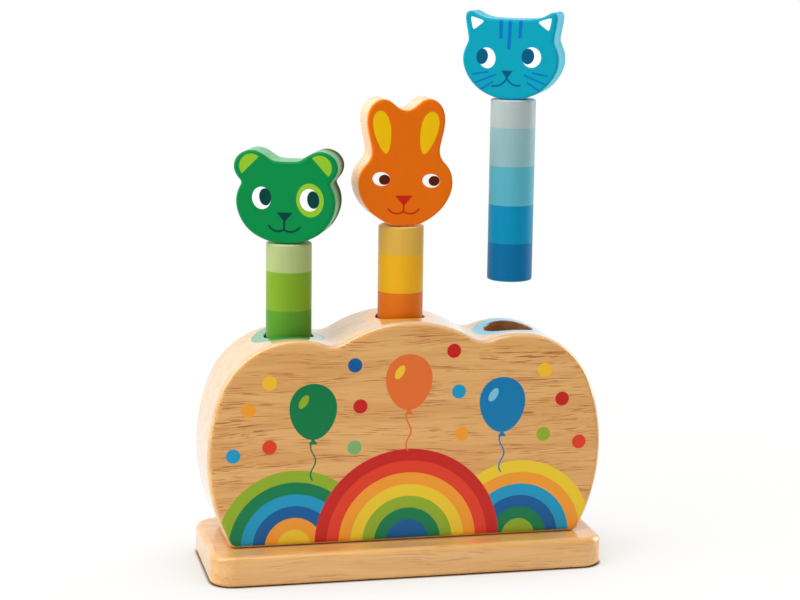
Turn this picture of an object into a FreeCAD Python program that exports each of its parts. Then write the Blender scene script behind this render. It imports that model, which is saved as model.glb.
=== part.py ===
import FreeCAD, Part
import math
import os
from collections import namedtuple

# Pop up animal toy. A thick wooden block with three humps stands on a base board.
# A bore runs down each hump, and in it a banded peg with a flat animal head rests on a
# compression spring. The pegs press down, spring back, turn and lift out; the cat is shown lifted.
# Origin: middle of the base board's underside. X along the toy, -Y to the front, +Z up.
# All sizes are millimetres.

# Base board: it is nearly as long as the block is wide, and shows in front and behind
BASE_SHORT_OF_BLOCK = 0.35
BASE_BESIDE_FACE = 15.0
BASE_THICK = 16.0
BASE_CORNER_R = 12.5
BASE_TOP_EDGE_R = 3.5
BASE_UNDER_EDGE_R = 2.0

# Body block: a cloud outline of tangent arcs, cut from a thick board
BLOCK_THICK = 48.0
BLOCK_EDGE_R = 3.0
FOOT_BEYOND_BORE = 34.0
FOOT_CORNER_R = 5.0
SIDE_R = 98.0
CENTRE_HUMP_RISE = 118.0
CENTRE_HUMP_R = 66.0
OUTER_HUMP_RISE = 110.0
OUTER_HUMP_R = 42.7
DIP_R = 12.6

# Bores, one down each hump
BORE_PITCH = 60.0
BORE_EDGE_R = 0.6
PEG_IN_BORE = 1.0

# Dowels, and how far they stand out of the block at rest
DOWEL_D = 24.0
DOWEL_LENGTH = 96.5
DOWEL_EDGE_R = 1.0
PEG_OUT = 48.0
CAT_LIFT = 74.0

# Heads: thickness, rounding, gap over the dowel, size of each and its turn to the left
HEAD_THICK = 20.0
HEAD_EDGE_R = 1.5
CHIN_GAP = 0.2
BEAR_WIDTH = 54.8
BEAR_HEIGHT = 48.4
BEAR_TURN = 22.0
RABBIT_WIDTH = 50.8
RABBIT_HEIGHT = 66.8
RABBIT_TURN = 0.0
CAT_WIDTH = 51.6
CAT_HEIGHT = 45.8
CAT_TURN = 28.0

# Neck pins, which join each head to its dowel
PIN_D = 8.0
PIN_IN_DOWEL = 12.0
PIN_IN_HEAD = 12.0
PIN_RUNNING = 0.05
PIN_END_GAP = 0.5

# Springs, which stand free in the bores
WIRE_D = 1.2
SPRING_IN_BORE = 3.0
SPRING_TURNS = 11
END_TURNS = 1
END_TURN_GAP = 0.5
PEG_ON_SPRING = 0.2

# Turned buttons that the springs' lowest turns grip
SEAT_HEIGHT = 8.0
SEAT_IN_SPRING = 0.2
SEAT_EDGE = 1.0

# Countersunk wood screws
SCREW_RUNNING = 0.05
SCREW_RECESS = 0.5
BLOCK_SCREW_D = 4.0
BLOCK_SCREW_HEAD_D = 8.0
BLOCK_SCREW_IN_BLOCK = 20.5
BLOCK_SCREW_BESIDE_BORE = 10.0
SEAT_SCREW_D = 3.5
SEAT_SCREW_HEAD_D = 7.0
SEAT_SCREW_OVER_UNDERSIDE = 3.5
CROSS_WIDTH = 1.0
CROSS_SHARE = 0.6
CROSS_DEPTH = 1.2

# Half outlines of the heads, from the middle of the chin round to the middle of the top:
# each point is a share of half the width and a share of the height.
BEAR_SHARES = [(0, 0), (0.274, 0.019), (0.595, 0.093), (0.825, 0.219), (0.956, 0.424),
             (0.905, 0.587), (0.858, 0.655), (0.920, 0.707), (1.0, 0.812), (0.924, 0.936),
             (0.664, 1.0), (0.412, 0.950), (0.277, 0.901), (0.150, 0.886), (0, 0.884)]
RABBIT_SHARES = [(0, 0), (0.276, 0.013), (0.531, 0.059), (0.740, 0.122), (0.900, 0.203),
               (0.988, 0.295), (0.990, 0.380), (0.905, 0.462), (0.775, 0.523), (0.722, 0.580),
               (0.740, 0.650), (0.800, 0.750), (0.822, 0.850), (0.750, 0.940), (0.600, 0.990),
               (0.470, 1.0), (0.330, 0.983), (0.140, 0.928), (0, 0.913)]
CAT_SHARES = [(0, 0), (0.250, 0.013), (0.500, 0.060), (0.720, 0.142), (0.890, 0.260),
            (0.985, 0.395), (0.985, 0.520), (0.920, 0.620), (0.888, 0.680), (0.912, 0.780),
            (0.943, 0.880), (0.950, 0.948), (0.922, 0.985), (0.857, 1.0), (0.783, 0.987),
            (0.660, 0.950), (0.430, 0.920), (0.200, 0.914), (0, 0.912)]

# Sizes that follow from the ones above
FOOT_HALF = BORE_PITCH + FOOT_BEYOND_BORE
BASE_WIDTH = BLOCK_THICK + 2 * BASE_BESIDE_FACE
CENTRE_HUMP_TOP = BASE_THICK + CENTRE_HUMP_RISE
OUTER_HUMP_TOP = BASE_THICK + OUTER_HUMP_RISE
BORE_D = DOWEL_D + 2 * PEG_IN_BORE
SPRING_OD = BORE_D - 2 * SPRING_IN_BORE
CLOSED_PITCH = WIRE_D + END_TURN_GAP
BLOCK_SCREW_LENGTH = BASE_THICK - SCREW_RECESS + BLOCK_SCREW_IN_BLOCK
SEAT_SCREW_LENGTH = BASE_THICK + SEAT_HEIGHT - SCREW_RECESS - SEAT_SCREW_OVER_UNDERSIDE

# How near a coordinate has to be to count as the same, and how finely wire is measured
SAME = 0.001
POINTS_ON_ARC = 7

# Each peg: its name, the place of its bore, the top of its hump, how far it is lifted, its head
Peg = namedtuple("Peg", "name x rim lift shares width height turn")
PEGS = [
    Peg("bear", -BORE_PITCH, OUTER_HUMP_TOP, 0.0, BEAR_SHARES, BEAR_WIDTH, BEAR_HEIGHT, BEAR_TURN),
    Peg("rabbit", 0.0, CENTRE_HUMP_TOP, 0.0,
        RABBIT_SHARES, RABBIT_WIDTH, RABBIT_HEIGHT, RABBIT_TURN),
    Peg("cat", BORE_PITCH, OUTER_HUMP_TOP, CAT_LIFT, CAT_SHARES, CAT_WIDTH, CAT_HEIGHT, CAT_TURN),
]


def save(name, shape):
    """Write one sub-part and say what it holds."""
    shape.exportStep("parts/%s.step" % name)
    print("%-18s solids %d  valid %s  volume %.1f"
          % (name, len(shape.Solids), shape.isValid(), shape.Volume))


def front_point(x, z):
    """A point of an outline, on the plane through the middle of the toy."""
    return FreeCAD.Vector(x, 0, z)


def turned(profile):
    """A solid turned about the Z axis from a list of (radius, height) corners."""
    corners = [front_point(r, z) for r, z in profile]
    face = Part.Face(Part.makePolygon(corners + corners[:1]))
    return face.revolve(FreeCAD.Vector(0, 0, 0), FreeCAD.Vector(0, 0, 1), 360)


def edges_on(shape, axis, value):
    """The edges that lie wholly in the plane where one coordinate has the value."""
    found = []
    for edge in shape.Edges:
        box = edge.BoundBox
        low = getattr(box, axis + "Min")
        high = getattr(box, axis + "Max")
        if abs(low - value) < SAME and abs(high - value) < SAME:
            found.append(edge)
    return found


def meeting_point(centre_a, radius_a, centre_b, radius_b, side):
    """Where two circles in the outline's plane cross; side picks left or right of a to b."""
    across = centre_b - centre_a
    along = (radius_a ** 2 - radius_b ** 2 + across.Length ** 2) / (2 * across.Length)
    off = math.sqrt(radius_a ** 2 - along ** 2)
    unit = FreeCAD.Vector(across).normalize()
    normal = FreeCAD.Vector(-unit.z, 0, unit.x)
    return centre_a + unit * along + normal * (side * off)


def round_edge(centre, start, end):
    """The shorter arc about a centre from one point to the other."""
    radius = (start - centre).Length
    bisector = ((start - centre) + (end - centre)).normalize()
    return Part.Arc(start, centre + bisector * radius, end).toShape()


def mirrored(point):
    return FreeCAD.Vector(-point.x, point.y, point.z)


def block_outline():
    """The cloud outline: foot, bulging sides, three humps and two dips, all tangent arcs."""
    centre_hump = front_point(0, CENTRE_HUMP_TOP - CENTRE_HUMP_R)
    outer_hump = front_point(BORE_PITCH, OUTER_HUMP_TOP - OUTER_HUMP_R)
    foot = front_point(FOOT_HALF, BASE_THICK)
    dip = meeting_point(centre_hump, CENTRE_HUMP_R + DIP_R, outer_hump, OUTER_HUMP_R + DIP_R, 1)
    side = meeting_point(outer_hump, SIDE_R - OUTER_HUMP_R, foot, SIDE_R, -1)
    dip_start = centre_hump + (dip - centre_hump).normalize() * CENTRE_HUMP_R
    dip_end = outer_hump + (dip - outer_hump).normalize() * OUTER_HUMP_R
    shoulder = outer_hump + (outer_hump - side).normalize() * OUTER_HUMP_R
    right = [round_edge(dip, dip_start, dip_end),
             round_edge(outer_hump, dip_end, shoulder),
             round_edge(side, shoulder, foot)]
    left = [edge.mirror(FreeCAD.Vector(0, 0, 0), FreeCAD.Vector(1, 0, 0)) for edge in right]
    top = round_edge(centre_hump, mirrored(dip_start), dip_start)
    under = Part.makeLine(foot, mirrored(foot))
    return Part.Wire(Part.sortEdges([top, under] + right + left)[0])


def board(outline, thick):
    """A board of the given thickness, cut to an outline and centred on it."""
    slab = Part.Face(outline).extrude(FreeCAD.Vector(0, thick, 0))
    slab.translate(FreeCAD.Vector(0, -thick / 2, 0))
    return slab


def screw_profile(diameter, head_d, length, running=0.0):
    """Half the outline of a countersunk screw that points up from its head's face."""
    shank = diameter / 2 + running
    cone = (head_d - diameter) / 2
    return [(head_d / 2 + running, 0), (shank, cone), (shank, length - diameter),
            (0, length + running)]


def screw_hole(diameter, head_d, length):
    """The hole for a screw, with room round it and open past the head's face."""
    mouth = head_d / 2 + SCREW_RUNNING
    return turned([(0, -SCREW_RECESS), (mouth, -SCREW_RECESS)]
                  + screw_profile(diameter, head_d, length, SCREW_RUNNING))


def screw(diameter, head_d, length):
    """A countersunk screw with a cross recess."""
    body = turned([(0, 0)] + screw_profile(diameter, head_d, length))
    arm = head_d * CROSS_SHARE
    for width, depth in ((arm, CROSS_WIDTH), (CROSS_WIDTH, arm)):
        slot = Part.makeBox(width, depth, CROSS_DEPTH, FreeCAD.Vector(-width / 2, -depth / 2, 0))
        body = body.cut(slot)
    return body


def block_screw_places():
    """The four screws lie in the solid wood between and beside the bores."""
    outer = BORE_PITCH + BORE_D / 2 + BLOCK_SCREW_BESIDE_BORE
    return [-outer, -BORE_PITCH / 2, BORE_PITCH / 2, outer]


def block_screw_holes():
    """The four countersunk holes, which run from the board's underside into the block."""
    holes = []
    for x in block_screw_places():
        hole = screw_hole(BLOCK_SCREW_D, BLOCK_SCREW_HEAD_D, BLOCK_SCREW_LENGTH)
        hole.translate(FreeCAD.Vector(x, 0, SCREW_RECESS))
        holes.append(hole)
    return holes


def block_screws():
    screws = []
    for x in block_screw_places():
        one = screw(BLOCK_SCREW_D, BLOCK_SCREW_HEAD_D, BLOCK_SCREW_LENGTH)
        one.translate(FreeCAD.Vector(x, 0, SCREW_RECESS))
        screws.append(one)
    return Part.makeCompound(screws)


def place_seat_screw(shape, x):
    """Turn a screw or its hole head up, and set it in the top of a spring's button."""
    shape.rotate(FreeCAD.Vector(0, 0, 0), FreeCAD.Vector(1, 0, 0), 180)
    shape.translate(FreeCAD.Vector(x, 0, BASE_THICK + SEAT_HEIGHT - SCREW_RECESS))
    return shape


def seat_screw_hole(x):
    return place_seat_screw(screw_hole(SEAT_SCREW_D, SEAT_SCREW_HEAD_D, SEAT_SCREW_LENGTH), x)


def seat_screws():
    screws = []
    for peg in PEGS:
        one = screw(SEAT_SCREW_D, SEAT_SCREW_HEAD_D, SEAT_SCREW_LENGTH)
        screws.append(place_seat_screw(one, peg.x))
    return Part.makeCompound(screws)


def base_board():
    """The board with rounded corners and edges, drilled for both kinds of screw."""
    half = block_outline().BoundBox.XMax - BASE_SHORT_OF_BLOCK
    plan = Part.makeBox(2 * half, BASE_WIDTH, BASE_THICK,
                        FreeCAD.Vector(-half, -BASE_WIDTH / 2, 0))
    upright = [edge for edge in plan.Edges if edge.BoundBox.ZLength > BASE_THICK / 2]
    plan = plan.makeFillet(BASE_CORNER_R, upright)
    plan = plan.makeFillet(BASE_TOP_EDGE_R, edges_on(plan, "Z", BASE_THICK))
    plan = plan.makeFillet(BASE_UNDER_EDGE_R, edges_on(plan, "Z", 0))
    return plan.cut(block_screw_holes() + [seat_screw_hole(peg.x) for peg in PEGS])


def body_block():
    """The block with its rounded front and back edges, its three bores and screw holes."""
    block = board(block_outline(), BLOCK_THICK)
    corners = [edge for edge in edges_on(block, "Z", BASE_THICK)
               if edge.BoundBox.YLength > BLOCK_THICK / 2]
    block = block.makeFillet(FOOT_CORNER_R, corners)
    for face in (-BLOCK_THICK / 2, BLOCK_THICK / 2):
        block = block.makeFillet(BLOCK_EDGE_R, edges_on(block, "Y", face))
    bores = [Part.makeCylinder(BORE_D / 2, 2 * peg.rim, FreeCAD.Vector(peg.x, 0, 0))
             for peg in PEGS]
    block = block.cut(bores)
    rims = [edge for edge in block.Edges
            if edge.isClosed() and edge.BoundBox.ZMin > BASE_THICK + BORE_EDGE_R]
    block = block.makeFillet(BORE_EDGE_R, rims)
    return block.cut(block_screw_holes())


def dowel(x, bottom):
    """One dowel with rounded ends and a blind hole for the neck pin."""
    peg = Part.makeCylinder(DOWEL_D / 2, DOWEL_LENGTH)
    peg = peg.makeFillet(DOWEL_EDGE_R, edges_on(peg, "Z", 0) + edges_on(peg, "Z", DOWEL_LENGTH))
    deep = PIN_IN_DOWEL + PIN_END_GAP
    hole = Part.makeCylinder(PIN_D / 2 + PIN_RUNNING, deep, FreeCAD.Vector(0, 0, DOWEL_LENGTH - deep))
    peg = peg.cut(hole)
    peg.translate(FreeCAD.Vector(x, 0, bottom))
    return peg


def head(peg, chin):
    """One flat head: a smooth closed outline, rounded edges and a hole up from the chin."""
    right = [front_point(u * peg.width / 2, v * peg.height) for u, v in peg.shares]
    points = right + [mirrored(point) for point in right[-2:0:-1]]
    steps = [math.sqrt((b - a).Length) for a, b in zip(points, points[1:] + points[:1])]
    marks = [sum(steps[:i]) / sum(steps) for i in range(len(steps) + 1)]
    curve = Part.BSplineCurve()
    curve.interpolate(Points=points, PeriodicFlag=True, Parameters=marks)
    solid = board(Part.Wire(curve.toShape()), HEAD_THICK)
    for face in (-HEAD_THICK / 2, HEAD_THICK / 2):
        solid = solid.makeFillet(HEAD_EDGE_R, edges_on(solid, "Y", face))
    deep = PIN_IN_HEAD + PIN_END_GAP + CHIN_GAP
    hole = Part.makeCylinder(PIN_D / 2 + PIN_RUNNING, 2 * deep, FreeCAD.Vector(0, 0, -deep))
    solid = solid.cut(hole)
    solid.rotate(FreeCAD.Vector(0, 0, 0), FreeCAD.Vector(0, 0, 1), -peg.turn)
    solid.translate(FreeCAD.Vector(peg.x, 0, chin))
    return solid


def neck_pin(x, dowel_top):
    """The hidden pin that reaches from the dowel up into the head."""
    length = PIN_IN_DOWEL + CHIN_GAP + PIN_IN_HEAD
    return Part.makeCylinder(PIN_D / 2, length, FreeCAD.Vector(x, 0, dowel_top - PIN_IN_DOWEL))


def arc_from(start, tangent, end):
    """The arc that leaves start along the tangent and reaches end."""
    chord = end - start
    unit = FreeCAD.Vector(chord).normalize()
    lean = tangent.dot(unit)
    outward = (tangent - unit * lean).normalize()
    rise = chord.Length / 2 * math.tan(math.acos(lean) / 2)
    return Part.Arc(start, start + chord / 2 + outward * rise, end).toShape()


def biarc(start, leave, end, arrive):
    """Two arcs that meet smoothly, along the given unit tangents at both ends."""
    chord = end - start
    both = leave + arrive
    bend = 2 * (1 - leave.dot(arrive))
    lean = chord.dot(both)
    reach = (math.sqrt(lean ** 2 + bend * chord.dot(chord)) - lean) / bend
    middle = (start + leave * reach + end - arrive * reach) / 2
    return [arc_from(start, leave, middle), arc_from(end, arrive * -1, middle)]


def spring_marks(height):
    """Each quarter turn of the wire's middle line: angle, height and pitch there."""
    count = 4 * SPRING_TURNS
    openness = []
    for i in range(count + 1):
        from_end = min(i, count - i) / 4 - END_TURNS
        openness.append(min(1.0, max(0.0, 2 * from_end)))
    open_turns = sum((a + b) / 8 for a, b in zip(openness, openness[1:]))
    spare = height - WIRE_D - CLOSED_PITCH * SPRING_TURNS
    pitches = [CLOSED_PITCH + share * spare / open_turns for share in openness]
    level = WIRE_D / 2
    marks = [(0.0, level, pitches[0])]
    for i in range(count):
        level += (pitches[i] + pitches[i + 1]) / 8
        marks.append(((i + 1) * math.pi / 2, level, pitches[i + 1]))
    return marks


def spring(x, height):
    """One compression spring: a single wire tube with nearly closed end turns."""
    radius = (SPRING_OD - WIRE_D) / 2
    knots = []
    for angle, level, pitch in spring_marks(height):
        across = radius * math.cos(angle)
        away = radius * math.sin(angle)
        place = FreeCAD.Vector(across, away, level)
        heading = FreeCAD.Vector(-away, across, pitch / (2 * math.pi))
        knots.append((place, heading.normalize()))
    path = []
    for (start, leave), (end, arrive) in zip(knots, knots[1:]):
        path += biarc(start, leave, end, arrive)
    wire = Part.Wire(path)
    section = Part.Wire(Part.makeCircle(WIRE_D / 2, knots[0][0], knots[0][1]))
    coil = wire.makePipeShell([section], True, False)
    print("spring: turn gap %.2f mm, volume over wire's %.4f"
          % (least_gap(wire), coil.Volume / (math.pi * WIRE_D ** 2 / 4 * wire.Length)))
    coil.translate(FreeCAD.Vector(x, 0, BASE_THICK))
    return coil


def least_gap(wire):
    """The smallest free space between the wire's turns, on points along its middle line."""
    points = []
    for edge in wire.Edges:
        points += edge.discretize(POINTS_ON_ARC)[:-1]
    half_turn = len(points) // SPRING_TURNS // 2
    nearest = min((a - b).Length for i, a in enumerate(points) for b in points[i + half_turn:])
    return nearest - WIRE_D


def spring_seat(x):
    """The turned button that the lowest turns grip, screwed to the base board."""
    radius = SPRING_OD / 2 - WIRE_D - SEAT_IN_SPRING
    button = turned([(0, 0), (radius, 0), (radius, SEAT_HEIGHT - SEAT_EDGE),
                     (radius - SEAT_EDGE, SEAT_HEIGHT), (0, SEAT_HEIGHT)])
    button.translate(FreeCAD.Vector(x, 0, BASE_THICK))
    return button.cut(seat_screw_hole(x))


def main():
    os.makedirs("parts", exist_ok=True)
    save("base_board", base_board())
    save("body_block", body_block())
    save("block_screws", block_screws())
    save("seat_screws", seat_screws())
    for peg in PEGS:
        resting = peg.rim + PEG_OUT - DOWEL_LENGTH
        bottom = resting + peg.lift
        top = bottom + DOWEL_LENGTH
        spring_height = resting - PEG_ON_SPRING - BASE_THICK
        print("%s: rim %.1f, dowel %.1f to %.1f, spring %.1f long"
              % (peg.name, peg.rim, bottom, top, spring_height))
        save(peg.name + "_spring_seat", spring_seat(peg.x))
        save(peg.name + "_spring", spring(peg.x, spring_height))
        save(peg.name + "_dowel", dowel(peg.x, bottom))
        save(peg.name + "_neck_pin", neck_pin(peg.x, top))
        save(peg.name + "_head", head(peg, top + CHIN_GAP))


main()
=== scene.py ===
import math

import bpy
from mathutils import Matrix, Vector


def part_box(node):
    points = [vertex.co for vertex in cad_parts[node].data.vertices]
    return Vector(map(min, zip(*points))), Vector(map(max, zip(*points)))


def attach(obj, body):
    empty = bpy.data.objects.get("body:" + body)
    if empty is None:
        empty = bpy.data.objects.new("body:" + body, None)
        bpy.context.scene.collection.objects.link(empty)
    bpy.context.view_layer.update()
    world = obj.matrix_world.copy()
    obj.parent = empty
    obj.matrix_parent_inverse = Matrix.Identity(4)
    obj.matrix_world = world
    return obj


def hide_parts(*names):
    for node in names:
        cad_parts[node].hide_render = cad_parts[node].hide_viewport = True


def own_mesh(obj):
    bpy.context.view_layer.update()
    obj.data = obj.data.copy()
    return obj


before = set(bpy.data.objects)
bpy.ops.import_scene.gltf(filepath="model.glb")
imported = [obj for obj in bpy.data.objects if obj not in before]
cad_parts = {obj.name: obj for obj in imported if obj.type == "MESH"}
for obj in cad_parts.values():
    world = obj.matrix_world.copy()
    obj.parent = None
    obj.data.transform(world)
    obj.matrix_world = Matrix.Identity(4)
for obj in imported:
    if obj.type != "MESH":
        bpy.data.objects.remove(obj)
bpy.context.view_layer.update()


# Base board
# A flat board of clear lacquered rubberwood, planed to thickness and routed round all its edges.
# It carries the block and the springs' buttons.
MM = 0.001
LACQUERED = {"IOR": 1.5, "Specular IOR Level": 0.2, "Coat Weight": 1.0, "Coat Roughness": 0.1}
BOARD_PALE = (228, 178, 112)
BOARD_TAN = (220, 166, 96)
BOARD_ROUGH = 0.34
BOARD_PORES = 0.36
PORE_BROWN = (158, 74, 28)
PORE_ROUGH = 0.2
PORE_GRAIN = (17, 0.6, 0.46)
PORE_LEVELS = (0.565, 0.625)
CLUSTER_GRAIN = (44, 7, 4.5)
CLUSTER_LEVELS = (0.36, 0.62)
SWAY_GRAIN = (70, 20, 20)
SWAY_ACROSS = 5
SWAY_UP = 9
BAND_GRAIN = (120, 8, 6)
BAND_LEVELS = (0.35, 0.65)
FIBRE_GRAIN = (30, 0.9, 0.7)
FIBRE_LEVELS = (0.35, 0.75)
FIBRE_DARK = 0.1
END_FACING = (0.6, 0.9)
END_PORES = 0.3
WOOD_RELIEF = 0.02 * MM


class Tone:
    """A value that changes over a surface. Arithmetic on it adds Math nodes to its material."""

    def __init__(self, tree, socket=None):
        self.tree = tree
        self.socket = socket

    def node(self, kind, settings=None, values=None, output=0):
        """Add a node, set it up, give its sockets values or links, and wrap one output."""
        made = self.tree.nodes.new("ShaderNode" + kind)
        for name, setting in (settings or {}).items():
            if name == "stops":
                ramp = made.color_ramp
                ramp.interpolation = "CONSTANT"
                for place, _ in setting[2:]:
                    ramp.elements.new(place)
                for stop, (place, colour) in zip(ramp.elements, setting):
                    stop.position = place
                    stop.color = colour
            else:
                setattr(made, name, setting)
        for name, value in (values or {}).items():
            if isinstance(value, Tone):
                self.tree.links.new(value.socket, made.inputs[name])
            else:
                made.inputs[name].default_value = value
        return Tone(self.tree, made.outputs[output])

    def maths(self, operation, *values, clamp=False):
        settings = {"operation": operation, "use_clamp": clamp}
        return self.node("Math", settings, dict(enumerate(values)))

    def __add__(self, other):
        return self.maths("ADD", self, other)

    def __sub__(self, other):
        return self.maths("SUBTRACT", self, other)

    def __rsub__(self, other):
        return self.maths("SUBTRACT", other, self)

    def __mul__(self, other):
        return self.maths("MULTIPLY", self, other)

    def __truediv__(self, other):
        return self.maths("DIVIDE", self, other)

    def __abs__(self):
        return self.maths("ABSOLUTE", self)

    def __lt__(self, other):
        return self.maths("LESS_THAN", self, other)

    def __gt__(self, other):
        return self.maths("GREATER_THAN", self, other)

    __radd__ = __add__

    def root(self):
        return self.maths("SQRT", self)

    def sine(self):
        return self.maths("SINE", self)

    def least(self, other):
        return self.maths("MINIMUM", self, other)

    def most(self, other):
        return self.maths("MAXIMUM", self, other)

    def rise(self, low, high):
        """0 below low, 1 above high and a smooth slope between."""
        return self.node("MapRange", {"interpolation_type": "SMOOTHSTEP"},
                         {0: self, 1: low, 2: high})

    def within(self, soft=0.15):
        """1 where a distance in millimetres is negative, 0 outside, with a soft edge."""
        return self.maths("MULTIPLY_ADD", self, -1 / soft, 0.5, clamp=True)

    def blend(self, under, over):
        """One colour laid over another by this share."""
        return self.node("Mix", {"data_type": "RGBA"}, {0: self, 6: under, 7: over}, 2)

    def axes(self):
        """The three numbers of a vector."""
        parted = self.node("SeparateXYZ", values={0: self})
        return [Tone(self.tree, out) for out in parted.socket.node.outputs]

    def noise(self, lengths, detail=2.0):
        """Noise from 0 to 1 whose grains have these lengths in millimetres along X, Y and Z."""
        scaled = self.node("VectorMath", {"operation": "DIVIDE"}, {0: self, 1: lengths})
        return self.node("TexNoise", values={"Vector": scaled, "Scale": 1.0, "Detail": detail})


def tint(red, green, blue):
    """A colour given as it shows on a screen, 0 to 255, as the light that it stands for."""
    shares = [part / 255 for part in (red, green, blue)]
    light = [s / 12.92 if s <= 0.04045 else ((s + 0.055) / 1.055) ** 2.4 for s in shares]
    return (*light, 1.0)


def new_finish(name, constants, origin=(0, 0, 0), turn=0.0):
    """A material with one shader, and each point's place on the piece in millimetres.

    The origin is in metres, and turn is how far the piece faces to the left, in degrees."""
    material = bpy.data.materials.new(name)
    material.use_nodes = True
    shader = material.node_tree.nodes["Principled BSDF"]
    for socket, value in constants.items():
        shader.inputs[socket].default_value = value
    start = Tone(material.node_tree)
    coordinates = start.node("TexCoord", output="Object")
    place = start.node("Mapping", {"vector_type": "TEXTURE"},
                       {"Vector": coordinates, "Location": origin,
                        "Rotation": (0, 0, math.radians(-turn)), "Scale": (MM, MM, MM)})
    return material, place


def finish_with(material, relief, depth, **changing):
    """Link what changes over the surface to the shader, with relief as small real bumps."""
    tree = material.node_tree
    shader = tree.nodes["Principled BSDF"]
    for name, tone in changing.items():
        tree.links.new(tone.socket, shader.inputs[name.replace("_", " ")])
    bump = relief.node("Bump", values={"Height": relief, "Distance": depth, "Strength": 1.0})
    tree.links.new(bump.socket, shader.inputs["Normal"])


def dress(name, material):
    """Give one piece of the frame its finish."""
    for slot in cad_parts[name].material_slots:
        slot.material = material


def facing(tone):
    """How far a surface looks along X, Y and Z."""
    return tone.node("NewGeometry", output="Normal").axes()


def rubberwood(place, pale, tan, pores_share):
    """Rubberwood with its fibres along X: soft bands, fine fibre, and short dark pores."""
    x, y, z = place.axes()
    sway = place.noise(SWAY_GRAIN, detail=1.0)
    swayed = place.node("CombineXYZ",
                        values={0: x, 1: y + sway * SWAY_ACROSS, 2: z + sway * SWAY_UP})
    bands = swayed.noise(BAND_GRAIN).rise(*BAND_LEVELS)
    fibre = swayed.noise(FIBRE_GRAIN)
    dashes = swayed.noise(PORE_GRAIN, detail=1.0).rise(*PORE_LEVELS)
    clusters = swayed.noise(CLUSTER_GRAIN, detail=1.0).rise(*CLUSTER_LEVELS)
    end_grain = abs(facing(place)[0]).rise(*END_FACING)
    pores = dashes * (clusters + end_grain * END_PORES).least(1.0) * pores_share
    ground = bands.blend(tint(*pale), tint(*tan))
    ground = (fibre.rise(*FIBRE_LEVELS) * FIBRE_DARK).blend(ground, tint(*PORE_BROWN))
    return pores.blend(ground, tint(*PORE_BROWN)), pores, fibre


def board_finish():
    """Rubberwood under clear lacquer, which is rougher over the pores."""
    material, place = new_finish("board_wood", LACQUERED)
    colour, pores, fibre = rubberwood(place, BOARD_PALE, BOARD_TAN, BOARD_PORES)
    finish_with(material, fibre - pores, WOOD_RELIEF, Base_Color=colour,
                Roughness=pores * PORE_ROUGH + BOARD_ROUGH)
    return material


dress("base_board", board_finish())


# Body block
# A thick block of lacquered rubberwood, sawn to a cloud outline and bored three times from above.
# Its front is printed in opaque inks, and a ring is painted round each bore.
BLOCK_FRONT = (226, 174, 108)
BLOCK_FRONT_DARK = (217, 161, 95)
FRONT_PORES = 0.75
# The top, sides and rounded edges get paler, less saturated wood than the front and back: a
# painted sheen and painted light where the lamps fall on them.
SHEEN_SIDE_PALE = (228, 190, 140)
SHEEN_SIDE_TAN = (220, 178, 126)
SIDE_PORES = 0.25
BLOCK_ROUGH = 0.32
# The bore walls are bare wood made darker and browner, with painted shade down inside the holes.
BORE_WALL_SHADED = (190, 128, 78)
BORE_SHADE = (158, 98, 52)
BORE_GRAIN = (6, 6, 0.5)
BORE_LEVELS = (0.3, 0.7)
BLOCK_LOW, BLOCK_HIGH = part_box("body_block")
HALF_THICK = BLOCK_HIGH[1] / MM
GROUND = BLOCK_LOW[2] / MM
FACE_WRAP = 0.5
FACE_COAT = 0.15
BORE_PITCH = 60.0
BORE_R = 13.0
BORE_SLACK = 0.15
RING_R = 19.5
RING_EDGE = 0.3
RING_BACK = 1.6
RINGS_ABOVE = GROUND + 60
# A darker line of each ring's colour round the bore's lip is painted shade of the lip.
LIP_SHADE_WIDTH = 0.5
RINGS = [(-BORE_PITCH, (0, 152, 92), (0, 76, 50)),
         (0.0, (252, 180, 44), (150, 76, 20)),
         (BORE_PITCH, (20, 176, 212), (0, 70, 100))]
YELLOW = (230, 196, 40)
AMBER = (238, 184, 38)
ORANGE = (236, 152, 40)
VERMILION = (220, 58, 26)
RED = (196, 28, 18)
BLUE = (0, 88, 152)
SKY = (16, 148, 190)
GREEN = (0, 122, 72)
LIME = (140, 170, 34)
MINT = (122, 172, 106)
HILL_BAND = 6.4
HILLS = [(-61.0, 41.0, (LIME, GREEN, SKY, BLUE, ORANGE, YELLOW)),
         (61.0, 41.0, (YELLOW, ORANGE, SKY, BLUE, GREEN, LIME)),
         (0.0, 50.0, (RED, VERMILION, ORANGE, YELLOW, LIME, GREEN, BLUE))]
BALLOONS = [(-51.0, 88.0, (0, 120, 66), LIME),
            (0.0, 102.0, (226, 108, 44), YELLOW),
            (51.0, 88.0, (0, 118, 170), (120, 190, 214))]
BALLOON_SIZE = (12.5, 15.0)
BALLOON_TAPER = 0.12
SHINE_PLACE = (-5.0, 5.5)
SHINE_SIZE = (2.1, 4.0)
SHINE_LEAN = 32.0
KNOT_HALF = 2.4
KNOT_TOP = 1.2
STRING = 22.0
STRING_HALF = 0.45
STRING_WAVE = 1.3
WAVE_TURN = 0.42
DOT_R = 3.8
DOTS = [(-93, 66, SKY), (-85, 90, ORANGE), (-74, 104, AMBER), (-74, 70, VERMILION),
        (-29, 112, BLUE), (-26, 90, RED), (-29, 68, MINT), (24, 118, RED), (27, 96, SKY),
        (29, 73, ORANGE), (74, 106, AMBER), (84, 90, RED), (74, 71, LIME), (94, 66, VERMILION)]


def oval(x, z, middle, size, lean=0.0, taper=0.0):
    """Distance outside an oval, in millimetres. Lean turns its top to the right, in degrees."""
    turn = math.radians(lean)
    across = (x - middle[0]) * math.cos(turn) - (z - middle[1]) * math.sin(turn)
    along = (x - middle[0]) * math.sin(turn) + (z - middle[1]) * math.cos(turn)
    up = along / size[1]
    side = across / size[0]
    if taper:
        side = side / (1 + up * taper)
    return ((side * side + up * up).root() - 1) * min(size)


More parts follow.
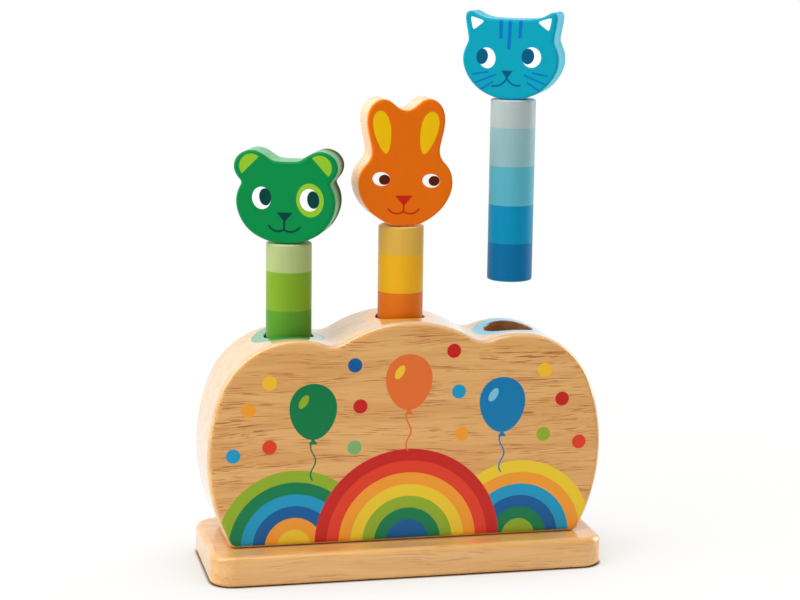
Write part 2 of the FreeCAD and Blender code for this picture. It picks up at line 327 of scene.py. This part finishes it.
def stroke(x, z, start, end, width):
    """Distance outside a straight brush stroke with round ends."""
    reach = (end[0] - start[0], end[1] - start[1])
    square = reach[0] ** 2 + reach[1] ** 2
    run = ((x - start[0]) * reach[0] + (z - start[1]) * reach[1]) / square
    share = run.most(0.0).least(1.0)
    off_x = x - start[0] - share * reach[0]
    off_z = z - start[1] - share * reach[1]
    return (off_x * off_x + off_z * off_z).root() - width / 2


def past_line(x, z, start, end):
    """Distance past a straight line, to the left of one who walks from its start to its end."""
    length = math.hypot(end[0] - start[0], end[1] - start[1])
    out_x = (start[1] - end[1]) / length
    out_z = (end[0] - start[0]) / length
    return (x - start[0]) * out_x + (z - start[1]) * out_z


def wedge(x, z, corners, round_off=0.3):
    """Distance outside a triangle whose corners are given clockwise."""
    first, second, third = [past_line(x, z, start, end)
                            for start, end in zip(corners, corners[1:] + corners[:1])]
    distance = x.maths("SMOOTH_MAX", first, second, round_off)
    return x.maths("SMOOTH_MAX", distance, third, round_off)


def paint_over(ground, shapes):
    """Lay shapes over a ground colour, each a distance and a colour."""
    for distance, colour in shapes:
        ground = distance.within().blend(ground, tint(*colour))
    return ground


def balloon(x, z, middle, body, shine):
    """A balloon: wavy string, knot, body and a leaning highlight."""
    left, up = middle
    knot = up - BALLOON_SIZE[1]
    wave = ((z - knot) * WAVE_TURN).sine() * STRING_WAVE
    beyond = abs(z - (knot - STRING / 2)) - STRING / 2
    string = (abs(x - left - wave) - STRING_HALF).most(beyond)
    tied = [(left, knot + KNOT_TOP),
            (left + KNOT_HALF, knot - KNOT_HALF),
            (left - KNOT_HALF, knot - KNOT_HALF)]
    lit = (left + SHINE_PLACE[0], up + SHINE_PLACE[1])
    return [(string, body),
            (wedge(x, z, tied), body),
            (oval(x, z, middle, BALLOON_SIZE, taper=BALLOON_TAPER), body),
            (oval(x, z, lit, SHINE_SIZE, lean=SHINE_LEAN), shine)]


def front_print(x, z, ground):
    """Banded hills, three balloons and confetti, in opaque inks."""
    for middle, radius, bands in HILLS:
        reach = ((x - middle) * (x - middle) + (z - GROUND) * (z - GROUND)).root()
        rainbow = [(reach - (radius - number * HILL_BAND), colour)
                   for number, colour in enumerate(bands)]
        ground = paint_over(ground, rainbow)
    for left, up, body, shine in BALLOONS:
        ground = paint_over(ground, balloon(x, z, (left, up), body, shine))
    dots = [(oval(x, z, (left, up), (DOT_R, DOT_R)), colour) for left, up, colour in DOTS]
    return paint_over(ground, dots)


def block_finish():
    """Lacquered wood with bare bores, painted rings and the print.

    The top and sides get paler wood as a painted sheen, the bores are darkened with painted shade,
    and a dark line of painted shade runs round each bore's lip.
    """
    material, place = new_finish("printed_wood", LACQUERED)
    x, y, z = place.axes()
    flat = abs(y) > HALF_THICK - FACE_WRAP
    edges = 1 - flat
    face, pores, fibre = rubberwood(place, BLOCK_FRONT, BLOCK_FRONT_DARK, FRONT_PORES)
    # Paler wood off the front and back faces, a painted sheen.
    sheen_sides, _, _ = rubberwood(place, SHEEN_SIDE_PALE, SHEEN_SIDE_TAN, SIDE_PORES)
    colour = flat.blend(sheen_sides, face)
    # Darker, browner wood in the bores: painted shade inside the holes.
    drilled = place.noise(BORE_GRAIN).rise(*BORE_LEVELS)
    shaded_bore = drilled.blend(tint(*BORE_WALL_SHADED), tint(*BORE_SHADE))
    for left, ring, lip_shade_colour in RINGS:
        across = (x - left) * (x - left)
        from_middle = (across + (y - RING_BACK) * (y - RING_BACK)).root()
        painted = (from_middle - RING_R).within(RING_EDGE) * (z > RINGS_ABOVE) * edges
        colour = painted.blend(colour, tint(*ring))
        from_axis = (across + y * y).root()
        # Painted shade along the lip of each bore.
        lip_shade = (from_axis < BORE_R + LIP_SHADE_WIDTH) * edges
        colour = lip_shade.blend(colour, tint(*lip_shade_colour))
        wall = (from_axis < BORE_R + BORE_SLACK) * edges
        colour = wall.blend(colour, shaded_bore)
    front = y < FACE_WRAP - HALF_THICK
    colour = front.blend(colour, front_print(x, z, colour))
    finish_with(material, fibre - pores * flat, WOOD_RELIEF, Base_Color=colour,
                Roughness=pores * flat * PORE_ROUGH + BLOCK_ROUGH,
                Coat_Weight=1 - flat * (1 - FACE_COAT))
    return material


dress("body_block", block_finish())


# Screws
# Four countersunk wood screws hold the block to the board from below, and three hold the
# springs' buttons. They are zinc plated steel with a cross recess.
def plain_finish(name, constants, grain, light, dark, levels, smooth, rougher, relief, detail=2.0):
    """A material in two colours, whose roughness and relief follow the same grain."""
    material, place = new_finish(name, constants)
    grains = place.noise(grain, detail)
    colour = grains.rise(*levels).blend(tint(*light), tint(*dark))
    finish_with(material, grains, relief, Base_Color=colour, Roughness=grains * rougher + smooth)
    return material


screw_steel = plain_finish("screw_steel", {"Metallic": 1.0}, grain=(1.5, 1.5, 1.5), detail=3.0,
                           light=(196, 196, 190), dark=(150, 148, 142), levels=(0.35, 0.7),
                           smooth=0.22, rougher=0.3, relief=0.02 * MM)
dress("block_screws", screw_steel)
dress("seat_screws", screw_steel)


# Spring buttons and neck pins
# Small turned pieces of bare beech. The buttons hold the springs' feet, and the pins join the
# heads to the dowels with glue.
bare_beech = plain_finish("inner_wood", {"IOR": 1.45}, grain=(0.5, 0.5, 9.0),
                          light=(214, 176, 128), dark=(186, 142, 94), levels=(0.35, 0.7),
                          smooth=0.5, rougher=0.2, relief=0.03 * MM)
for animal in ("bear", "rabbit", "cat"):
    dress(animal + "_spring_seat", bare_beech)
    dress(animal + "_neck_pin", bare_beech)


# Springs
# One compression spring under each peg, wound from bright steel wire with nearly closed ends.
# Its foot grips the button, and it shortens towards it as the peg is pressed.
WIRE_R = 0.6 * MM
TURNS = 11
END_TURNS = 1
END_PITCH = 1.7 * MM
STEPS = 16


def coil_levels(foot, top):
    """The wire's height at each step: the ends lie nearly closed and the middle is open."""
    count = TURNS * STEPS
    open_share = [min(1.0, max(0.0, 2 * (min(i, count - i) / STEPS - END_TURNS)))
                  for i in range(count + 1)]
    open_turns = sum((a + b) / 2 / STEPS for a, b in zip(open_share, open_share[1:]))
    spare = (top - foot - 2 * WIRE_R - END_PITCH * TURNS) / open_turns
    levels = [foot + WIRE_R]
    for a, b in zip(open_share, open_share[1:]):
        levels.append(levels[-1] + (END_PITCH + spare * (a + b) / 2) / STEPS)
    return levels


def coil(name, finish):
    """Wind one spring in the place of the frame's own, and hang it on the spring's body."""
    low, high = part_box(name)
    middle = (low[0] + high[0]) / 2
    radius = (high[0] - low[0]) / 2 - WIRE_R
    bpy.ops.object.select_all(action="DESELECT")
    bpy.ops.curve.primitive_nurbs_path_add(location=(0, 0, 0))
    wire = bpy.context.active_object
    wire.name = name + "_coil"
    wire.data.bevel_depth = WIRE_R
    wire.data.bevel_resolution = 2
    wire.data.use_fill_caps = True
    levels = coil_levels(low[2], high[2])
    line = wire.data.splines[0]
    line.type = "POLY"
    line.points.add(len(levels) - len(line.points))
    for step, (point, level) in enumerate(zip(line.points, levels)):
        angle = 2 * math.pi * step / STEPS
        point.co = (middle + radius * math.cos(angle), radius * math.sin(angle), level, 1.0)
    bpy.ops.object.convert(target="MESH")
    bpy.ops.object.shade_smooth()
    wire = bpy.context.active_object
    wire.data.materials.append(finish)
    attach(wire, name)
    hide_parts(name)
    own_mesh(wire)


spring_steel = plain_finish("spring_steel", {"Metallic": 1.0}, grain=(0.8, 0.8, 0.4),
                            light=(190, 190, 192), dark=(140, 140, 144), levels=(0.3, 0.7),
                            smooth=0.2, rougher=0.2, relief=0.01 * MM)
for animal in ("bear", "rabbit", "cat"):
    coil(animal + "_spring", spring_steel)


# Dowels
# Round pegs of hardwood dowel, painted in satin bands that deepen downwards. The cut ends are
# only washed with colour.
FIRST_BAND = 14.5
BAND = 20.5
SATIN = {"IOR": 1.48, "Specular IOR Level": 0.12}
PAINT_ROUGH = 0.28
PAINT_RELIEF = 0.03 * MM
UNDER_ROUGH = 0.15
BLACK = (0, 0, 0)
DOWEL_GRAIN = (0.5, 0.5, 22.0)
DOWEL_LEVELS = (0.45, 0.8)
DOWEL_DARK = 0.06
END_UP = 0.8
DOWEL_BANDS = {
    "bear": [(168, 182, 120), (122, 161, 36), (88, 146, 42), (20, 124, 56), (0, 98, 52)],
    "rabbit": [(217, 171, 72), (232, 172, 26), (220, 112, 22), (208, 86, 18), (190, 60, 14)],
    "cat": [(168, 182, 180), (136, 176, 180), (84, 166, 184), (0, 134, 176), (0, 104, 154)],
}
DOWEL_ENDS = {"bear": (196, 214, 170), "rabbit": (244, 216, 166), "cat": (196, 210, 230)}


def dowel_finish(animal):
    """Satin paint in five bands from the top down, with a wash on the ends."""
    low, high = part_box(animal + "_dowel")
    length = (high[2] - low[2]) / MM
    material, place = new_finish(animal + "_dowel_paint", SATIN, (0, 0, high[2]))
    down = place.axes()[2] / -length
    bands = DOWEL_BANDS[animal]
    starts = [0.0] + [(FIRST_BAND + BAND * i) / length for i in range(len(bands) - 1)]
    stops = [(start, tint(*band)) for start, band in zip(starts, bands)]
    colour = down.node("ValToRGB", {"stops": stops}, {0: down})
    end = abs(facing(place)[2]) > END_UP
    colour = end.blend(colour, tint(*DOWEL_ENDS[animal]))
    fibre = place.noise(DOWEL_GRAIN)
    colour = (fibre.rise(*DOWEL_LEVELS) * DOWEL_DARK).blend(colour, tint(*BLACK))
    finish_with(material, fibre, PAINT_RELIEF, Base_Color=colour,
                Roughness=fibre * UNDER_ROUGH + PAINT_ROUGH)
    return material


for animal in DOWEL_BANDS:
    dress(animal + "_dowel", dowel_finish(animal))


# Heads
# Flat heads sawn from 20 mm board, with rounded edges. Front and back are painted opaque, the
# sawn edge only has a thin wash with the grain showing, and the face is printed on the front.
# The rounded edges are lighter, partly thinner paint and partly a painted highlight, and the
# sawn edge darkens at its right and back with painted shade.
HEAD_HALF = 10.0
HEAD_ROUND = 1.5
PAINT_WRAP = 0.5
HIGHLIGHT_SOFT = 0.4
HEAD_GRAIN = (0.55, 0.55, 16.0)
HEAD_LEVELS = (0.5, 0.8)
HEAD_DARK = 0.05
SAWN_GRAIN = (0.9, 2.0, 0.9)
SAWN_LEVELS = (0.45, 0.7)
SAWN_SHARE = 0.42
# Towards the right and back of the sawn edge the wash is darkened to olive brown, a painted shade:
# fully on the bear, faintly on the rabbit and cat.
SIDE_SHADE_TINT = (78, 70, 14)
SIDE_SHADE_ACROSS = (13, 21)
SIDE_SHADE_DEEP = (-4, 7)
SIDE_SHADE_ROUGH = 0.4
# Each head's edge colour, lighter than its paint, lies on the rounded edges: partly thinner paint,
# partly a painted highlight.
HEADS = {
    "bear": {"turn": 22.0, "side_shade": 1.0, "paint": (0, 132, 66),
             "wash": (116, 188, 138), "edge": (0, 138, 76)},
    "rabbit": {"turn": 0.0, "side_shade": 0.1, "paint": (226, 106, 2),
               "wash": (254, 211, 174), "edge": (255, 156, 56)},
    "cat": {"turn": 28.0, "side_shade": 0.1, "paint": (0, 153, 176),
            "wash": (0, 181, 206), "edge": (20, 160, 196)},
}
WHITE = (255, 255, 255)


def curve_stroke(x, z, start, low, end, width):
    """Distance outside a curved brush stroke through three points, with round ends."""
    (ax, az), (bx, bz), (cx, cz) = start, low, end
    twice = 2 * (ax * (bz - cz) + bx * (cz - az) + cx * (az - bz))
    a2, b2, c2 = ax * ax + az * az, bx * bx + bz * bz, cx * cx + cz * cz
    mx = (a2 * (bz - cz) + b2 * (cz - az) + c2 * (az - bz)) / twice
    mz = (a2 * (cx - bx) + b2 * (ax - cx) + c2 * (bx - ax)) / twice
    radius = math.hypot(ax - mx, az - mz)
    ring = abs(((x - mx) * (x - mx) + (z - mz) * (z - mz)).root() - radius) - width / 2
    if past_line(bx, bz, start, end) > 0:
        beyond = past_line(x, z, end, start)
    else:
        beyond = past_line(x, z, start, end)
    tip = (width / 2, width / 2)
    ends = oval(x, z, start, tip).least(oval(x, z, end, tip))
    return ring.most(beyond).least(ends)


def bear_face(x, z):
    """Lime inner ears and eye ring, white eyes that look to the right, nose and smile."""
    lime = (136, 184, 40)
    dark = (0, 62, 58)
    left_cut = past_line(x, z, (-12.4, 46.7), (-22.4, 36.7))
    right_cut = past_line(x, z, (24.4, 33.9), (14.4, 44.8))
    return [
        (oval(x, z, (-18.0, 40.3), (6.3, 6.3)).most(left_cut), lime),
        (oval(x, z, (18.0, 40.2), (6.4, 6.4)).most(right_cut), lime),
        (oval(x, z, (13.1, 23.3), (7.2, 8.75), -6.0), lime),
        (oval(x, z, (-12.4, 23.8), (5.0, 5.8), -6.0), WHITE),
        (oval(x, z, (12.8, 23.4), (5.0, 5.8), -6.0), WHITE),
        (oval(x, z, (-10.5, 24.4), (3.2, 4.5), -6.0), dark),
        (oval(x, z, (14.8, 23.6), (3.2, 4.6), -6.0), dark),
        (wedge(x, z, [(-4.5, 16.6), (4.1, 16.6), (-0.3, 11.5)]), dark),
        (stroke(x, z, (-0.3, 12.5), (-0.5, 7.9), 1.1), dark),
        (curve_stroke(x, z, (-8.5, 9.4), (-4.4, 6.7), (-0.5, 7.7), 1.1), dark),
        (curve_stroke(x, z, (-0.5, 7.7), (3.3, 6.6), (7.6, 8.9), 1.1), dark),
    ]


def rabbit_face(x, z):
    """Yellow inner ears, white eyes that look to the right, red nose and smile."""
    yellow = (236, 186, 0)
    brown = (86, 28, 8)
    red = (198, 34, 4)
    return [
        (oval(x, z, (-12.6, 49.8), (4.4, 11.3), -10.0, 0.3), yellow),
        (oval(x, z, (11.8, 49.1), (4.5, 11.3), 13.0, 0.3), yellow),
        (oval(x, z, (-13.2, 25.4), (4.7, 3.6), 8.0), WHITE),
        (oval(x, z, (13.5, 24.1), (4.7, 3.6), 8.0), WHITE),
        (oval(x, z, (-11.5, 25.0), (3.0, 2.7)), brown),
        (oval(x, z, (15.1, 24.0), (3.0, 2.65)), brown),
        (wedge(x, z, [(-5.8, 16.6), (3.8, 16.5), (-1.0, 11.0)]), red),
        (stroke(x, z, (-1.0, 12.5), (-1.1, 8.4), 0.9), red),
        (curve_stroke(x, z, (-9.3, 9.7), (-4.8, 7.1), (-1.1, 8.2), 0.9), red),
        (curve_stroke(x, z, (-1.1, 8.2), (2.6, 6.9), (7.1, 9.3), 0.9), red),
    ]


def cat_face(x, z):
    """White inner ears, blue stripes and whiskers, eyes that look to the left, nose and mouth."""
    stripe = (0, 110, 184)
    dark = (0, 84, 122)
    shapes = [
        (wedge(x, z, [(-21.7, 43.3), (-14.0, 40.8), (-20.2, 35.9)], 2.4), WHITE),
        (wedge(x, z, [(21.7, 43.3), (20.2, 35.9), (14.0, 40.8)], 2.4), WHITE),
        (stroke(x, z, (-5.3, 40.8), (-5.3, 32.5), 1.9), stripe),
        (stroke(x, z, (-0.4, 41.0), (-0.9, 27.0), 1.9), stripe),
        (stroke(x, z, (5.2, 40.8), (4.8, 33.0), 1.9), stripe),
    ]
    whiskers = [((20, 12.9), (12, 14.3)), ((18.5, 8.6), (7.8, 13.0)), ((15.5, 5.2), (9.3, 9.2))]
    for side in (-1, 1):
        for (tip, tip_up), (root, root_up) in whiskers:
            whisker = stroke(x, z, (side * tip, tip_up), (side * root, root_up), 1.05)
            shapes.append((whisker, stripe))
    return shapes + [
        (oval(x, z, (-12.5, 21.6), (4.5, 5.4), -8.0), WHITE),
        (oval(x, z, (11.3, 22.4), (5.0, 5.3), 8.0), WHITE),
        (oval(x, z, (-15.1, 22.3), (3.1, 4.1), 8.0), dark),
        (oval(x, z, (9.3, 22.9), (3.4, 4.1), 8.0), dark),
        (wedge(x, z, [(-4.8, 15.2), (1.4, 15.2), (-1.7, 10.7)]), dark),
        (curve_stroke(x, z, (-9.4, 7.1), (-4.8, 7.9), (-1.7, 11.4), 0.9), dark),
        (curve_stroke(x, z, (-1.7, 11.4), (1.0, 8.3), (5.4, 7.6), 0.9), dark),
    ]


def head_finish(animal, face):
    """Opaque paint front and back, a faint wash on the sawn edge, and the printed face.

    The rounding gets a lighter colour, partly a painted highlight, and the sawn edge darkens
    towards its right and back with painted shade.
    """
    low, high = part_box(animal + "_head")
    look = HEADS[animal]
    middle = (low[0] + high[0]) / 2
    material, place = new_finish(animal + "_head_paint", SATIN, (middle, 0, low[2]), look["turn"])
    x, y, z = place.axes()
    fibre = place.noise(HEAD_GRAIN)
    grain = place.noise(SAWN_GRAIN, detail=3.0).rise(*SAWN_LEVELS)
    wash = (grain * SAWN_SHARE).blend(tint(*look["wash"]), tint(*look["paint"]))
    # Painted shade: the sawn edge darkens towards its right and back.
    side_shade = x.rise(*SIDE_SHADE_ACROSS) * y.rise(*SIDE_SHADE_DEEP) * look["side_shade"]
    wash = side_shade.blend(wash, tint(*SIDE_SHADE_TINT))
    # The rounding between paint and wash gets the lighter edge colour, in part a painted
    # highlight.
    depth = abs(y) - (HEAD_HALF - HEAD_ROUND)
    colour = depth.within(HIGHLIGHT_SOFT).blend(tint(*look["edge"]), wash)
    flat = abs(y) > HEAD_HALF - PAINT_WRAP
    colour = flat.blend(colour, tint(*look["paint"]))
    front = y < -(HEAD_HALF - PAINT_WRAP)
    colour = front.blend(colour, paint_over(colour, face(x, z)))
    colour = (fibre.rise(*HEAD_LEVELS) * HEAD_DARK).blend(colour, tint(*BLACK))
    finish_with(material, fibre, PAINT_RELIEF, Base_Color=colour,
                Roughness=fibre * UNDER_ROUGH + side_shade * SIDE_SHADE_ROUGH + PAINT_ROUGH)
    return material


for animal, face in (("bear", bear_face), ("rabbit", rabbit_face), ("cat", cat_face)):
    dress(animal + "_head", head_finish(animal, face))


# Studio
# A plain pale floor under a soft white sky that is dark in front, as behind a photographer. A
# large lamp stands high on the left, a small one above and one at the right for the far edges.
FLOOR_SIZE = 30.0
FLOOR_LEVEL = -0.2 * MM
FLOOR_GLOW = 0.85
FLOOR_LIT = (0.86, 0.84, 0.81, 1.0)
FLOOR_MATT = (0.88, 0.88, 0.88, 1.0)
FLOOR_PLAIN = (0.25, 0.6)
FLOOR_FRONT = (-0.5, -0.05)
CONTACT = 0.003
CONTACT_SHADOW_TINT = (20, 4, 0)
CONTACT_SHADOW_LEVELS = (0.35, 0.55)
CONTACT_SHADOW_FRINGE = (150, 100, 66)
SHADOW_FRINGE_LEVELS = (0.55, 0.75)
SOFT_SHADE = 0.07
SHADE_TINT = (228, 222, 212)
SHADE_LEVELS = (0.3, 1.0)
SKY_LIGHT = 0.43
SKY_LEFT = 0.12
SKY_FRONT = 0.04
FRONT_SKY = (-0.5, 0.4)
FRONT_GLOSS = 0.15
LAMP_AIM = (0.0, 0.0, 0.1)
LAMPS = [("key", (-1.7, -0.3, 1.5), 1.9, 36.0),
         ("top", (-0.4, -0.4, 2.0), 1.2, 16.0),
         ("rim", (1.8, 0.4, 0.6), 1.2, 20.0)]
CAMERA_PLACE = (-0.24078, -1.04847, 0.33811)
CAMERA_YAW = 12.93
CAMERA_PITCH = 10.36
CAMERA_ROLL = 0.77
CAMERA_LENS = 92.535
CAMERA_SENSOR = 36.0


def seen_by(start):
    """1 for what the camera sees, and 1 for what gloss and glass mirror."""
    rays = start.node("LightPath").socket.node.outputs
    camera = Tone(start.tree, rays["Is Camera Ray"])
    glossy = Tone(start.tree, rays["Is Glossy Ray"])
    return camera, glossy.most(Tone(start.tree, rays["Is Transmission Ray"]))


def pale_floor():
    """White to the camera and in gloss, with a painted soft shadow and a painted dark contact
    shadow line where the toy stands.

    It is dark in front to what mirrors it, and plain white far from the toy."""
    bpy.ops.object.select_all(action="DESELECT")
    bpy.ops.mesh.primitive_plane_add(size=FLOOR_SIZE, location=(0, 0, FLOOR_LEVEL))
    bpy.ops.object.transform_apply(location=True, rotation=False, scale=False)
    floor = bpy.context.active_object
    floor.name = "floor"
    material = bpy.data.materials.new("floor_white")
    material.use_nodes = True
    tree = material.node_tree
    tree.nodes.clear()
    start = Tone(tree)
    x, y, _ = start.node("TexCoord", output="Object").axes()
    camera, mirror = seen_by(start)
    # Ambient occlusion darkens the floor's glow: painted shadow round the toy, and a painted dark
    # contact shadow with a brown fringe under its edges.
    contact_shade = start.node("AmbientOcclusion", {"samples": 8}, {"Distance": CONTACT}, "AO")
    wide_shade = start.node("AmbientOcclusion", {"samples": 8}, {"Distance": SOFT_SHADE}, "AO")
    shade = wide_shade.rise(*SHADE_LEVELS).blend(tint(*SHADE_TINT), tint(*WHITE))
    shade = contact_shade.rise(*SHADOW_FRINGE_LEVELS).blend(tint(*CONTACT_SHADOW_FRINGE), shade)
    shade = contact_shade.rise(*CONTACT_SHADOW_LEVELS).blend(tint(*CONTACT_SHADOW_TINT), shade)
    dim = (1 - y.rise(*FLOOR_FRONT)) * mirror * (1 - FRONT_GLOSS)
    glow = start.node("Emission", values={"Color": dim.blend(shade, tint(*BLACK))})
    white = start.node("Emission", values={"Color": dim.blend(tint(*WHITE), tint(*BLACK))})
    lit = start.node("BsdfDiffuse", values={"Color": FLOOR_LIT})
    near = start.node("MixShader", values={0: FLOOR_GLOW, 1: lit, 2: glow})
    far = (x * x + y * y).root().rise(*FLOOR_PLAIN)
    seen = start.node("MixShader", values={0: far, 1: near, 2: white})
    matt = start.node("BsdfDiffuse", values={"Color": FLOOR_MATT})
    mixed = start.node("MixShader", values={0: camera.most(mirror), 1: matt, 2: seen})
    out = tree.nodes.new("ShaderNodeOutputMaterial")
    tree.links.new(mixed.socket, out.inputs["Surface"])
    floor.data.materials.append(material)


def white_sky():
    """White to the camera, dark in reflections of the front, and a soft light from the left."""
    world = bpy.data.worlds.new("sky")
    world.use_nodes = True
    bpy.context.scene.world = world
    start = Tone(world.node_tree)
    x, y, _ = start.node("TexCoord", output="Generated").axes()
    camera, mirror = seen_by(start)
    light = x * -SKY_LEFT + y * -SKY_FRONT + SKY_LIGHT
    gloss = y.rise(*FRONT_SKY) * (1 - FRONT_GLOSS) + FRONT_GLOSS
    light = light + mirror * (gloss - light)
    light = light + camera * (1 - light)
    sky = start.tree.nodes["Background"]
    start.tree.links.new(light.socket, sky.inputs["Color"])


def soft_lamp(name, place, size, power):
    """A square lamp that looks at the toy."""
    bpy.ops.object.light_add(type="AREA", location=place)
    lamp = bpy.context.active_object
    lamp.name = name
    lamp.data.shape = "SQUARE"
    lamp.data.size = size
    lamp.data.energy = power
    line = Vector(LAMP_AIM) - Vector(place)
    lamp.rotation_euler = line.to_track_quat("-Z", "Y").to_euler()


def photo_camera():
    """Look along the photograph's line of sight, a little rolled about it."""
    bpy.ops.object.camera_add(location=CAMERA_PLACE)
    camera = bpy.context.active_object
    camera.name = "camera"
    camera.rotation_euler = (math.radians(90 - CAMERA_PITCH), 0, math.radians(-CAMERA_YAW))
    camera.rotation_euler.rotate_axis("Z", math.radians(CAMERA_ROLL))
    camera.data.lens = CAMERA_LENS
    camera.data.sensor_width = CAMERA_SENSOR
    bpy.context.scene.camera = camera


pale_floor()
white_sky()
for name, place, size, power in LAMPS:
    soft_lamp(name, place, size, power)
photo_camera()
bpy.context.scene.view_settings.view_transform = "Standard"
